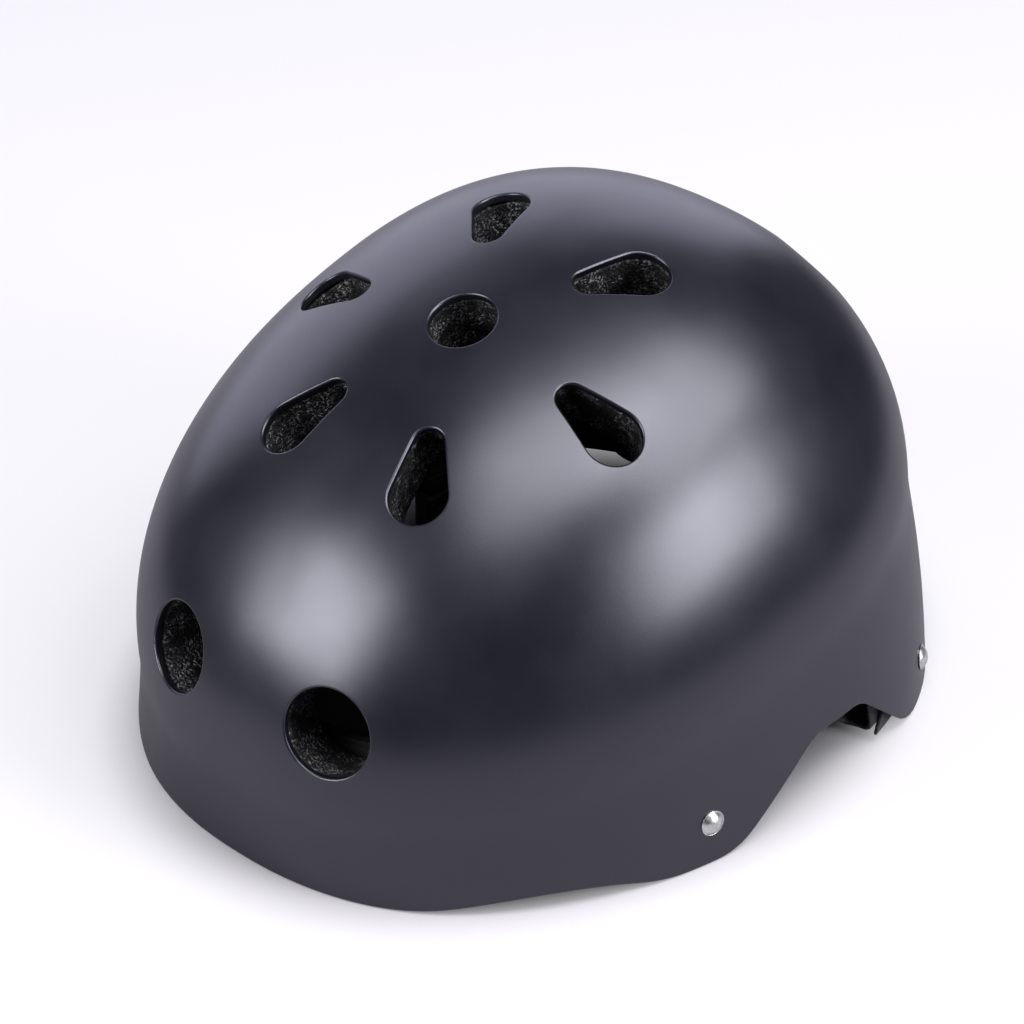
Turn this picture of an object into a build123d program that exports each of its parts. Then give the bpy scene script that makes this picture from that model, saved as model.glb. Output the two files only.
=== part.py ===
from build123d import *
from math import atan2, cos, hypot, radians, sin, tan
import os

os.makedirs("parts", exist_ok=True)

# Shell form: half axes of the dome about the middle of its belt line
shell_half_width = 109
shell_front_reach = 142
shell_rear_reach = 115
shell_rise = 99.5
shell_wall = 3
belt_height = 55.1

# How square the dome is in side view and in plan, where 2 would be a plain ellipse
rise_power_share = 2.05
plan_power_share = 2.27

# Stance: the dome dips at the brow and its crown leans back by a share of its height
dip_angle = 11.4
lean_share = 0.089

# Below the belt the walls flare by these angles, and the nape curls in again
front_flare_angle = 12.4
side_flare_angle = 8.8
rear_flare_angle = 10.1
nape_curl_radius = 143
flare_ease = 12

# Rim in side view: it stands on brow, flaps and nape, and arches over temple and ear
brow_foot = 15.5
temple_length = 64
temple_height = 8.5
temple_foot_radius = 60
temple_crown_radius = 85
flap_length = 26.5
ear_front_run = 35.5
ear_top_run = 23
ear_rear_run = 27.5
ear_height = 24.5
flap_corner_radius = 25
ear_front_radius = 16
ear_rear_radius = 12
nape_corner_radius = 20

# Vents: bearings run from straight ahead, climbs from the belt line
crown_vent_diameter = 21.5
crown_vent_climb = 74
round_vent_diameter = 28.5
round_vent_bearing = 13.7
round_vent_climb = 12.4
rear_vent_bearing = 163
rear_vent_climb = 24
teardrop_length = 31
teardrop_wide_radius = 9.2
teardrop_narrow_radius = 5
teardrop_places = ((18.3, 46.7), (62.3, 54.0), (121.3, 72.3))

# Foam liner: its lower edge is raised at the sides, over the strap anchors
liner_gap = 0.3
liner_thickness = 19
liner_end_height = 8
liner_side_height = 27
liner_side_front = 50
liner_side_rear = 94
liner_side_slope_run = 14
liner_vent_margin = 0.6

# Comfort pads and the hook-and-loop dots that hold them
dot_diameter = 20
dot_thickness = 1.2
dot_gap = 0.15
pad_thickness = 8
pad_corner_radius = 9
brow_pad_width = 118
brow_pad_height = 26
brow_pad_low = 15
brow_dot_pitch = 42
nape_pad_width = 92
nape_pad_height = 24
nape_pad_low = 15
nape_dot_pitch = 46
side_pad_length = 62
side_pad_height = 38
side_pad_low = 46
side_pad_place = 12
side_dot_pitch = 32
crown_pad_length = 76
crown_pad_width = 30
crown_pad_place = 36
crown_dot_pitch = 44

# Webbing
strap_width = 20
strap_thickness = 1.5
strap_gap = 0.6
fold_clearance = 0.3
layer_gap = 0.2

# Strap anchors: each band is riveted to the shell, turns in at its foot and ends in the fold line
fold_inboard = 98.5
fold_height = 4
anchor_top = 23.5
front_rivet_place = 33
front_rivet_height = 14.3
rear_rivet_place = 80
rear_rivet_height = 11.6
rear_band_end = 91
rear_fold_place = 56

# Rivets
rivet_head_diameter = 8.4
rivet_head_height = 2.3
rivet_head_gap = 0.5
rivet_shank_diameter = 4
rivet_hole_diameter = 4.4
rivet_clinch_diameter = 6.4
rivet_clinch_height = 0.9
washer_diameter = 10
washer_thickness = 0.8
washer_gap = 1.3

# Side straps, tucked up into the helmet at this angle over the floor
tuck_angle = 50
side_strap_length = 84
meeting_place = 8
tongue_length = 5
tongue_radius = 2.5

# Strap dividers
divider_width = 30
divider_length = 20
divider_wall = 1.6
divider_corner_radius = 3
divider_window = 4.6
divider_place = 66

# Chin straps and buckle
socket_strap_run = 14
socket_width = 26
socket_length = 38
socket_depth = 9
socket_mouth_width = 20.4
socket_mouth_depth = 5.6
socket_mouth_length = 25
socket_window_length = 9
socket_window_place = 12
strap_pocket_depth = 5
buckle_corner_radius = 3
plug_strap_run = 17
plug_base_length = 15
plug_tongue_width = 5.5
plug_tongue_length = 20
plug_tongue_depth = 4.6
arm_width = 3
arm_length = 21
arm_depth = 4.8
arm_place = 7.4
barb_reach = 1.8
barb_length = 6
arm_pin_diameter = 2.4
arm_flex_clearance = 0.3
ladder_window = 3.2
loose_end_offset = 2.6
loose_end_radius = 1.3
loose_end_length = 20
keeper_height = 5
keeper_wall = 1.2
keeper_gap = 0.3
keeper_place = 10

# Construction: how far cuts run past, how deep the dome forms go, and how finely skins are found
overrun = 12
form_floor = -30
probe = 0.05
bisections_share = 44
ring_shares = [step / 24 for step in range(25)]
row_shares = (0.0007, 0.008, 0.026, 0.056, 0.1, 0.16, 0.24, 0.33, 0.42, 0.5, 0.57, 0.65, 0.75, 0.87, 1)


# Skin of the dome, in coordinates from the middle of the belt line

def wall_flare(out, back, depth):
    """How far the wall stands out past the belt line, at a depth below it."""
    eased = hypot(depth, flare_ease) - flare_ease
    end_share = (back / hypot(out, back)) ** 2
    side_slope = tan(radians(side_flare_angle))
    if back < 0:
        end_slope = tan(radians(front_flare_angle))
    else:
        end_slope = tan(radians(rear_flare_angle)) - eased / (2 * nape_curl_radius)
    return eased * ((1 - end_share) * side_slope + end_share * end_slope)


def skin_level(out, back, rise, inset):
    """Under one inside the dome that lies this inset within the shell's skin, one on it."""
    dip = radians(dip_angle)
    own_rise = rise * cos(dip) - back * sin(dip)
    own_back = back * cos(dip) + rise * sin(dip) - lean_share * own_rise
    reach = shell_front_reach if own_back < 0 else shell_rear_reach
    across = (abs(out) / (shell_half_width - inset)) ** plan_power_share
    along = (abs(own_back) / (reach - inset)) ** plan_power_share
    plan = (across + along) ** (1 / plan_power_share)
    if own_rise >= 0:
        height = own_rise / (shell_rise - inset)
        return (plan**rise_power_share + height**rise_power_share) ** (1 / rise_power_share)
    radius = hypot(out, own_back)
    if radius == 0:
        return 0
    return radius / (radius / plan + wall_flare(out, own_back, -own_rise))


def skin_distance(start, direction, inset):
    """How far the skin is from a start inside it. Both vectors are from the belt's middle."""
    near, far = 0, 2 * (shell_front_reach + shell_rise)
    for _ in range(bisections_share):
        middle = (near + far) / 2
        point = start + direction * middle
        if skin_level(point.X, point.Y, point.Z, inset) < 1:
            near = middle
        else:
            far = middle
    return near


# The row frame's Y = 0 is halfway between the shell's foremost and rearmost points
skirt_levels = [Vector(0, 0, -belt_height * step / 20) for step in range(21)]
shell_foremost = max(skin_distance(level, Vector(0, -1, 0), 0) for level in skirt_levels)
shell_rearmost = max(skin_distance(level, Vector(0, 1, 0), 0) for level in skirt_levels)
shell_length = shell_foremost + shell_rearmost
belt_middle = Vector(0, (shell_foremost - shell_rearmost) / 2, belt_height)


def skin_normal(place, inset):
    """Outward normal of the skin at a place in the row frame."""
    point = place - belt_middle
    steps = (Vector(probe, 0, 0), Vector(0, probe, 0), Vector(0, 0, probe))
    slopes = []
    for step in steps:
        ahead, behind = point + step, point - step
        rise = skin_level(ahead.X, ahead.Y, ahead.Z, inset)
        slopes.append(rise - skin_level(behind.X, behind.Y, behind.Z, inset))
    return Vector(*slopes).normalized()


def bearing_place(bearing, climb, inset):
    """Point of the skin in a direction of the dome's own frame: bearing from straight ahead."""
    bearing, climb, dip = radians(bearing), radians(climb), radians(dip_angle)
    out = sin(bearing) * cos(climb)
    own_rise = sin(climb)
    own_back = lean_share * own_rise - cos(bearing) * cos(climb)
    back = own_back * cos(dip) - own_rise * sin(dip)
    rise = own_back * sin(dip) + own_rise * cos(dip)
    direction = Vector(out, back, rise)
    return belt_middle + direction * skin_distance(Vector(0, 0, 0), direction, inset)


def side_place(along, height, inset):
    """Point of the left wall at a place of the side view."""
    start = Vector(0, along, height) - belt_middle
    return Vector(skin_distance(start, Vector(1, 0, 0), inset), along, height)


def dome(inset):
    """Solid dome whose rows fan out from the crown vent, so that the vent takes its pole away."""
    top = bearing_place(0, crown_vent_climb, inset)
    foot = Vector(0, belt_middle.Y, form_floor)
    top_normal = skin_normal(top, inset)
    top_tilt = atan2(-top_normal.Y, top_normal.Z)
    with BuildPart() as form:
        for share in row_shares:
            tilt = top_tilt * (1 - share)
            middle = top + (foot - top) * share
            row = Plane(origin=middle, x_dir=(1, 0, 0), z_dir=(0, -sin(tilt), cos(tilt)))
            corners = []
            for share_round in ring_shares[:-1]:
                turn = radians(360 * share_round)
                direction = row.x_dir * cos(turn) + row.y_dir * sin(turn)
                reach = skin_distance(middle - belt_middle, direction, inset)
                corners.append((reach * cos(turn), reach * sin(turn)))
            with BuildSketch(row):
                with BuildLine():
                    add(Edge.make_spline(corners, periodic=True, parameters=ring_shares))
                make_face()
        loft()
    return form.part


liner_back = shell_wall + liner_gap
liner_face = liner_back + liner_thickness
dot_back = liner_face + dot_gap
dot_face = dot_back + dot_thickness
pad_back = dot_face + dot_gap
pad_face = pad_back + pad_thickness
band_back = shell_wall + strap_gap
band_face = band_back + strap_thickness

shell_skin_form = dome(0)
shell_inside_form = dome(shell_wall)
liner_back_form = dome(liner_back)
liner_face_form = dome(liner_face)
pad_back_form = dome(pad_back)
pad_face_form = dome(pad_face)
band_back_form = dome(band_back)
band_face_form = dome(band_face)


# Rims, as solids that take away all that lies under them

temple_start = brow_foot - shell_length / 2
temple_end = temple_start + temple_length
flap_end = temple_end + flap_length
ear_top_start = flap_end + ear_front_run
ear_top_end = ear_top_start + ear_top_run
ear_end = ear_top_end + ear_rear_run
rim_start = -shell_length / 2 - overrun
rim_end = shell_length / 2 + overrun
cut_reach = shell_half_width + 4 * overrun

with BuildPart() as under_shell:
    with BuildSketch(Plane.YZ):
        with BuildLine():
            FilletPolyline(
                (rim_start, 0),
                (temple_start, 0),
                ((temple_start + temple_end) / 2, temple_height),
                (temple_end, 0),
                (flap_end, 0),
                (ear_top_start, ear_height),
                (ear_top_end, ear_height),
                (ear_end, 0),
                (rim_end, 0),
                radius=[
                    temple_foot_radius,
                    temple_crown_radius,
                    temple_foot_radius,
                    flap_corner_radius,
                    ear_front_radius,
                    ear_rear_radius,
                    nape_corner_radius,
                ],
            )
            Polyline(
                (rim_end, 0),
                (rim_end, form_floor - overrun),
                (rim_start, form_floor - overrun),
                (rim_start, 0),
            )
        make_face()
    extrude(amount=cut_reach, both=True)

with BuildPart() as under_liner:
    with BuildSketch(Plane.YZ):
        with BuildLine():
            Polyline(
                (rim_start, liner_end_height),
                (-liner_side_front - liner_side_slope_run, liner_end_height),
                (-liner_side_front, liner_side_height),
                (liner_side_rear, liner_side_height),
                (liner_side_rear + liner_side_slope_run, liner_end_height),
                (rim_end, liner_end_height),
                (rim_end, form_floor - overrun),
                (rim_start, form_floor - overrun),
                close=True,
            )
        make_face()
    extrude(amount=cut_reach, both=True)


# Vents

def vent_plane(bearing, climb):
    """Plane on the skin, with X pointing away from the crown vent."""
    place = bearing_place(bearing, climb, 0)
    normal = skin_normal(place, 0)
    away = place - bearing_place(0, crown_vent_climb, 0)
    if away.length < probe:
        away = Vector(1, 0, 0)
    return Plane(origin=place, x_dir=away - normal * away.dot(normal), z_dir=normal)


def cut_vents(margin):
    """Cuts every vent through the part being built, wider all round by a margin."""
    round_vents = [(0, crown_vent_climb, crown_vent_diameter)]
    for side in (-1, 1):
        round_vents.append((side * round_vent_bearing, round_vent_climb, round_vent_diameter))
        round_vents.append((side * rear_vent_bearing, rear_vent_climb, round_vent_diameter))
    depth = liner_face + 2 * overrun
    for bearing, climb, diameter in round_vents:
        with BuildSketch(vent_plane(bearing, climb).offset(overrun)) as hole:
            Circle(diameter / 2 + margin)
        extrude(hole.sketch, amount=-depth, mode=Mode.SUBTRACT)
    wide_end = teardrop_length / 2 - teardrop_wide_radius
    narrow_end = teardrop_narrow_radius - teardrop_length / 2
    for bearing, climb in teardrop_places:
        for side in (-1, 1):
            with BuildSketch(vent_plane(side * bearing, climb).offset(overrun)) as hole:
                with Locations((wide_end, 0)):
                    Circle(teardrop_wide_radius + margin)
                with Locations((narrow_end, 0)):
                    Circle(teardrop_narrow_radius + margin)
                make_hull()
            extrude(hole.sketch, amount=-depth, mode=Mode.SUBTRACT)


# Rivet places, as planes on the skin whose Z points outwards

def rivet_plane(along, height, side):
    """Plane on the skin at a rivet, on the left side for 1 and on the right for -1."""
    place = side_place(along, height, 0)
    normal = skin_normal(place, 0)
    place = Vector(side * place.X, place.Y, place.Z)
    normal = Vector(side * normal.X, normal.Y, normal.Z)
    return Plane(origin=place, x_dir=Vector(0, 0, 1).cross(normal), z_dir=normal)


rivet_places = ((-front_rivet_place, front_rivet_height), (rear_rivet_place, rear_rivet_height))
rivet_planes = [rivet_plane(along, height, side) for along, height in rivet_places for side in (-1, 1)]
rivet_grip = band_face + washer_gap + washer_thickness + layer_gap


def cut_rivet_holes():
    """Drills the rivet holes through the part being built."""
    for plane in rivet_planes:
        with BuildSketch(plane.offset(overrun)) as hole:
            Circle(rivet_hole_diameter / 2)
        extrude(hole.sketch, amount=-overrun - rivet_grip, mode=Mode.SUBTRACT)


# Hard shell
with BuildPart() as outer_shell:
    add(shell_skin_form)
    add(shell_inside_form, mode=Mode.SUBTRACT)
    add(under_shell.part, mode=Mode.SUBTRACT)
    cut_vents(0)
    cut_rivet_holes()
outer_shell.part.label = "outer_shell"
export_step(outer_shell.part, "parts/outer_shell.step")

# Foam liner
with BuildPart() as foam_liner:
    add(liner_back_form)
    add(liner_face_form, mode=Mode.SUBTRACT)
    add(under_liner.part, mode=Mode.SUBTRACT)
    cut_vents(liner_vent_margin)
foam_liner.part.label = "foam_liner"
export_step(foam_liner.part, "parts/foam_liner.step")


# Comfort pads, cut from the layer inside the liner by an outline seen from their own side

def pad(view, place, width, height, reach):
    """Pad seen in a view plane, cut along the way that the reach points."""
    with BuildPart() as piece:
        add(pad_back_form)
        add(pad_face_form, mode=Mode.SUBTRACT)
        with BuildSketch(view):
            with Locations(place):
                RectangleRounded(width, height, pad_corner_radius)
        extrude(amount=reach, mode=Mode.INTERSECT)
    return piece


brow_pad_centre = (0, brow_pad_low + brow_pad_height / 2)
brow_pad = pad(Plane.XZ, brow_pad_centre, brow_pad_width, brow_pad_height, rim_end)
brow_pad.part.label = "brow_pad"
export_step(brow_pad.part, "parts/brow_pad.step")

nape_pad_centre = (0, nape_pad_low + nape_pad_height / 2)
nape_pad = pad(Plane.XZ, nape_pad_centre, nape_pad_width, nape_pad_height, -rim_end)
nape_pad.part.label = "nape_pad"
export_step(nape_pad.part, "parts/nape_pad.step")

side_pad_centre = (side_pad_place, side_pad_low + side_pad_height / 2)
left_side_pad = pad(Plane.YZ, side_pad_centre, side_pad_length, side_pad_height, cut_reach)
left_side_pad.part.label = "left_side_pad"
export_step(left_side_pad.part, "parts/left_side_pad.step")

right_side_pad = pad(Plane.YZ, side_pad_centre, side_pad_length, side_pad_height, -cut_reach)
right_side_pad.part.label = "right_side_pad"
export_step(right_side_pad.part, "parts/right_side_pad.step")

full_height = belt_height + shell_rise
crown_pad = pad(Plane.XY, (0, crown_pad_place), crown_pad_width, crown_pad_length, full_height)
crown_pad.part.label = "crown_pad"
export_step(crown_pad.part, "parts/crown_pad.step")

# Hook-and-loop dots between the pads and the liner
brow_dots = [(step * brow_dot_pitch, brow_pad_centre[1]) for step in (-1, 0, 1)]
nape_dots = [(step * nape_dot_pitch, nape_pad_centre[1]) for step in (-1 / 2, 1 / 2)]
side_dots = [(side_pad_place + step * side_dot_pitch, side_pad_centre[1]) for step in (-1 / 2, 1 / 2)]
crown_dots = [(0, crown_pad_place + step * crown_dot_pitch) for step in (-1 / 2, 1 / 2)]
dot_rows = (
    (Plane.XZ, brow_dots, rim_end),
    (Plane.XZ, nape_dots, -rim_end),
    (Plane.YZ, side_dots, cut_reach),
    (Plane.YZ, side_dots, -cut_reach),
    (Plane.XY, crown_dots, full_height),
)
dot_back_form = dome(dot_back)
dot_face_form = dome(dot_face)
with BuildPart() as hook_dots:
    for view, places, reach in dot_rows:
        with BuildSketch(view):
            with Locations(*places):
                Circle(dot_diameter / 2)
        extrude(amount=reach)
    add(dot_back_form, mode=Mode.INTERSECT)
    add(dot_face_form, mode=Mode.SUBTRACT)
hook_dots.part.label = "hook_dots"
export_step(hook_dots.part, "parts/hook_dots.step")


def save_both_hands(left, name):
    """Writes a left-hand piece and its mirror image."""
    right = mirror(left.part, about=Plane.YZ)
    for piece, hand in ((left.part, "left"), (right, "right")):
        piece.label = f"{hand}_{name}"
        export_step(piece, f"parts/{hand}_{name}.step")


# Strap anchors: a band on the shell's inside, a foot that turns in, and the bead of the fold line

def strap_anchor(band_front, band_rear, foot_middle):
    """Left-hand anchor, its band between two places along the helmet."""
    foot_start = foot_middle - strap_width / 2
    band_low = fold_height - strap_thickness / 2
    with BuildPart() as anchor:
        add(band_back_form)
        add(band_face_form, mode=Mode.SUBTRACT)
        with BuildSketch(Plane.YZ):
            with Locations((band_front, band_low)):
                Rectangle(band_rear - band_front, anchor_top - band_low, align=Align.MIN)
        extrude(amount=cut_reach, mode=Mode.INTERSECT)
    with BuildPart() as foot:
        add(band_back_form)
        with BuildSketch(Plane.YZ.offset(fold_inboard)):
            with Locations((foot_start, band_low)):
                Rectangle(strap_width, strap_thickness, align=Align.MIN)
        extrude(amount=cut_reach, mode=Mode.INTERSECT)
    with BuildPart() as whole:
        add(anchor.part)
        add(foot.part)
        with BuildSketch(Plane.XZ.offset(-foot_start)):
            with Locations((fold_inboard, fold_height)):
                Circle(strap_thickness / 2)
        extrude(amount=-strap_width)
        cut_rivet_holes()
    return whole


front_band_start = -front_rivet_place - strap_width / 2
front_anchor = strap_anchor(front_band_start, front_band_start + strap_width, -front_rivet_place)
save_both_hands(front_anchor, "front_strap_anchor")

rear_band_start = rear_fold_place - strap_width / 2
rear_anchor = strap_anchor(rear_band_start, rear_band_end, rear_fold_place)
save_both_hands(rear_anchor, "rear_strap_anchor")

# Rivets: a domed cap and shank of one piece, clinched over a washer
with BuildPart() as rivets:
    for plane in rivet_planes:
        head = rivet_head_diameter / 2
        shank = rivet_shank_diameter / 2
        clinch = rivet_clinch_diameter / 2
        crown = rivet_head_gap + rivet_head_height
        with BuildSketch(Plane(origin=plane.origin, x_dir=plane.x_dir, z_dir=-plane.y_dir)):
            with BuildLine():
                Polyline(
                    (0, crown),
                    (0, -rivet_grip - rivet_clinch_height),
                    (clinch, -rivet_grip - rivet_clinch_height),
                    (clinch, -rivet_grip),
                    (shank, -rivet_grip),
                    (shank, rivet_head_gap),
                    (head, rivet_head_gap),
                )
                TangentArc((0, crown), (head, rivet_head_gap), tangent=(1, 0))
            make_face()
        revolve(axis=Axis(plane.origin, plane.z_dir))
rivets.part.label = "rivets"
export_step(rivets.part, "parts/rivets.step")

with BuildPart() as rivet_washers:
    for plane in rivet_planes:
        with BuildSketch(plane.offset(-band_face - washer_gap)):
            Circle(washer_diameter / 2)
            Circle(rivet_hole_diameter / 2, mode=Mode.SUBTRACT)
        extrude(amount=-washer_thickness)
rivet_washers.part.label = "rivet_washers"
export_step(rivet_washers.part, "parts/rivet_washers.step")


# Side straps, in the plane through the fold line: X runs rearwards and Y up into the helmet
tuck = radians(tuck_angle)
strap_plane = Plane(
    origin=(fold_inboard, 0, fold_height), x_dir=(0, 1, 0), z_dir=(sin(tuck), 0, cos(tuck))
)
divider_start = divider_place - divider_length / 2
divider_end = divider_place + divider_length / 2
front_strap_start = strap_thickness / 2 + fold_clearance
rear_strap_start = strap_thickness + layer_gap + fold_clearance
rear_layer = -strap_thickness - layer_gap


def side_strap_corners(fold_place, start):
    """Corners of a strap from the fold line to the divider and straight on through it."""
    lean = (meeting_place - fold_place) / (divider_start - start)
    half_foot = strap_width / 2 * hypot(1, lean)
    half_strap = strap_width / 2
    return (
        (fold_place - half_foot, start),
        (meeting_place - half_strap, divider_start),
        (meeting_place - half_strap, divider_end),
        (meeting_place + half_strap, divider_end),
        (meeting_place + half_strap, divider_start),
        (fold_place + half_foot, start),
    )


fold_end = Vector(fold_inboard, 0, fold_height) + strap_plane.y_dir * side_strap_length
tongue_start = Vector(fold_inboard, 0, fold_height) + strap_plane.y_dir * divider_end
hang_inboard = fold_end.X - tongue_length
hang_height = fold_end.Z
meeting_front = Plane.XZ.offset(strap_width / 2 - meeting_place)

with BuildPart() as front_side_strap:
    with BuildSketch(strap_plane):
        with BuildLine():
            Polyline(*side_strap_corners(-front_rivet_place, front_strap_start), close=True)
        make_face()
    extrude(amount=strap_thickness / 2, both=True)
    with BuildSketch(meeting_front):
        with BuildLine():
            FilletPolyline(
                (tongue_start.X, tongue_start.Z),
                (fold_end.X, fold_end.Z),
                (hang_inboard, hang_height),
                radius=tongue_radius,
            )
        trace(line_width=strap_thickness)
        with Locations((hang_inboard, hang_height)):
            Circle(strap_thickness / 2)
    extrude(amount=-strap_width)
save_both_hands(front_side_strap, "front_side_strap")

with BuildPart() as rear_side_strap:
    with BuildSketch(strap_plane.offset(rear_layer)):
        with BuildLine():
            Polyline(*side_strap_corners(rear_fold_place, rear_strap_start), close=True)
        make_face()
    extrude(amount=strap_thickness / 2, both=True)
save_both_hands(rear_side_strap, "rear_side_strap")

# Divider that holds the two side straps together: a sleeve with windows that leave three bars
passage_top = strap_thickness / 2 + fold_clearance
passage_bottom = rear_layer - strap_thickness / 2 - fold_clearance
passage_middle = (passage_top + passage_bottom) / 2
passage_depth = passage_top - passage_bottom
divider_depth = passage_depth + 2 * divider_wall
with BuildPart() as divider:
    with BuildSketch(strap_plane.offset(passage_middle)):
        with Locations((meeting_place, divider_place)):
            RectangleRounded(divider_width, divider_length, divider_corner_radius)
    extrude(amount=divider_depth / 2, both=True)
    with BuildSketch(strap_plane.offset(passage_middle)):
        with Locations((meeting_place, divider_place)):
            Rectangle(strap_width + 2 * fold_clearance, divider_length + 2 * overrun)
    extrude(amount=passage_depth / 2, both=True, mode=Mode.SUBTRACT)
    with BuildSketch(strap_plane.offset(passage_middle)):
        for side in (-1, 1):
            with Locations((meeting_place, divider_place + side * (divider_length / 6 + divider_wall / 2))):
                Rectangle(strap_width + 2 * fold_clearance, divider_window)
    extrude(amount=divider_depth, both=True, mode=Mode.SUBTRACT)
save_both_hands(divider, "divider")

# Chin straps hang plumb from the fold at the end of each side strap
chin_top = hang_height - strap_thickness / 2 - fold_clearance
socket_top = hang_height - socket_strap_run
with BuildPart() as left_chin_strap:
    with BuildSketch(meeting_front):
        with Locations((hang_inboard, chin_top)):
            Rectangle(
                strap_thickness,
                chin_top - socket_top + strap_pocket_depth - fold_clearance,
                align=(Align.CENTER, Align.MAX),
            )
    extrude(amount=-strap_width)
left_chin_strap.part.label = "left_chin_strap"
export_step(left_chin_strap.part, "parts/left_chin_strap.step")

# Buckle socket: open at its lower end, with a window each side for the plug's barbs
with BuildPart() as buckle_socket:
    with BuildSketch(Plane.XY.offset(socket_top)):
        with Locations((hang_inboard, meeting_place)):
            RectangleRounded(socket_depth, socket_width, buckle_corner_radius)
    extrude(amount=-socket_length)
    with BuildSketch(Plane.XY.offset(socket_top - socket_length)):
        with Locations((hang_inboard, meeting_place)):
            Rectangle(socket_mouth_depth, socket_mouth_width)
    extrude(amount=socket_mouth_length, mode=Mode.SUBTRACT)
    with BuildSketch(Plane.XZ):
        with Locations((hang_inboard, socket_top - socket_length + socket_window_place)):
            Rectangle(socket_mouth_depth, socket_window_length, align=(Align.CENTER, Align.MIN))
    extrude(amount=socket_width + meeting_place, both=True, mode=Mode.SUBTRACT)
    with BuildSketch(Plane.XY.offset(socket_top)):
        with Locations((hang_inboard, meeting_place)):
            Rectangle(strap_thickness + 2 * fold_clearance, strap_width + 2 * fold_clearance)
    extrude(amount=-strap_pocket_depth, mode=Mode.SUBTRACT)
buckle_socket.part.label = "buckle_socket"
export_step(buckle_socket.part, "parts/buckle_socket.step")

# Right chin strap: down to the plug, round its bar and back up as the loose end
plug_top = hang_height - plug_strap_run
strap_turn = plug_top - plug_base_length / 2
loose_end_inboard = hang_inboard + loose_end_offset
with BuildPart() as chin_strap_form:
    with BuildSketch(meeting_front):
        with BuildLine():
            FilletPolyline(
                (hang_inboard, chin_top),
                (hang_inboard, strap_turn),
                (loose_end_inboard, strap_turn),
                (loose_end_inboard, strap_turn + loose_end_length),
                radius=loose_end_radius - probe,
            )
        trace(line_width=strap_thickness)
    extrude(amount=-strap_width)
right_chin_strap = mirror(chin_strap_form.part, about=Plane.YZ)
right_chin_strap.label = "right_chin_strap"
export_step(right_chin_strap, "parts/right_chin_strap.step")

# Buckle plug, drawn on the left and mirrored: base with two ladder windows, and the guide tongue
pocket_middle = (hang_inboard + loose_end_inboard) / 2
plug_foot = plug_top - plug_base_length
pocket_width = loose_end_offset + strap_thickness + 2 * fold_clearance
with BuildPart() as plug_form:
    with BuildSketch(Plane.XY.offset(plug_top)):
        with Locations((pocket_middle, meeting_place)):
            RectangleRounded(socket_depth, socket_width, buckle_corner_radius)
    extrude(amount=-plug_base_length)
    with BuildSketch(Plane.XY.offset(plug_foot)):
        with Locations((pocket_middle, meeting_place)):
            Rectangle(plug_tongue_depth, plug_tongue_width)
    extrude(amount=-plug_tongue_length)
    with BuildSketch(Plane.XY.offset(plug_top)):
        with Locations((pocket_middle, meeting_place)):
            Rectangle(pocket_width, strap_width + 2 * fold_clearance)
    extrude(amount=strap_turn - plug_top - strap_thickness / 2 - fold_clearance, mode=Mode.SUBTRACT)
    with BuildSketch(Plane.YZ):
        with Locations((meeting_place, plug_top - plug_base_length / 4)):
            Rectangle(strap_width + 2 * fold_clearance, ladder_window)
    extrude(amount=cut_reach, mode=Mode.SUBTRACT)
    for side in (-1, 1):
        with BuildSketch(Plane.YZ):
            with Locations((meeting_place + side * arm_place, plug_foot)):
                Rectangle(
                    arm_width + 2 * arm_flex_clearance,
                    arm_pin_diameter / 2 + arm_flex_clearance,
                    align=(Align.CENTER, Align.MIN),
                )
        extrude(amount=cut_reach, mode=Mode.SUBTRACT)
buckle_plug = mirror(plug_form.part, about=Plane.YZ)
buckle_plug.label = "buckle_plug"
export_step(buckle_plug, "parts/buckle_plug.step")

# Spring arms of the plug: each bends about its root and ends in a barb
for side, name in ((-1, "front"), (1, "rear")):
    root = meeting_place + side * arm_place
    with BuildPart() as arm_form:
        with BuildSketch(Plane.YZ.offset(pocket_middle)):
            with Locations((root, plug_foot)):
                Circle(arm_pin_diameter / 2)
                Rectangle(arm_width, arm_length, align=(Align.CENTER, Align.MAX))
            with BuildLine():
                Polyline(
                    (root + side * arm_width / 2, plug_foot - arm_length),
                    (root + side * (arm_width / 2 + barb_reach), plug_foot - arm_length + barb_length),
                    (root + side * arm_width / 2, plug_foot - arm_length + barb_length),
                    close=True,
                )
            make_face()
        extrude(amount=arm_depth / 2, both=True)
    arm = mirror(arm_form.part, about=Plane.YZ)
    arm.label = f"plug_arm_{name}"
    export_step(arm, f"parts/plug_arm_{name}.step")

# Rubber keeper ring round the doubled chin strap
with BuildPart() as keeper_form:
    with BuildSketch(Plane.XY.offset(hang_height - keeper_place)):
        with Locations((pocket_middle, meeting_place)):
            passage = (
                loose_end_offset + strap_thickness + 2 * keeper_gap,
                strap_width + 2 * keeper_gap,
            )
            RectangleRounded(passage[0] + 2 * keeper_wall, passage[1] + 2 * keeper_wall, keeper_wall)
            Rectangle(*passage, mode=Mode.SUBTRACT)
    extrude(amount=-keeper_height)
strap_keeper = mirror(keeper_form.part, about=Plane.YZ)
strap_keeper.label = "strap_keeper"
export_step(strap_keeper, "parts/strap_keeper.step")
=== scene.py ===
"""Skateboard helmet: soft, moulded and woven pieces over the CAD frame, with floor, light and camera."""

from bisect import bisect
from math import asin, atan2, ceil, cos, hypot, pi, radians, sin, tan

import bmesh
import bpy
from mathutils import Matrix, Vector


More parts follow.
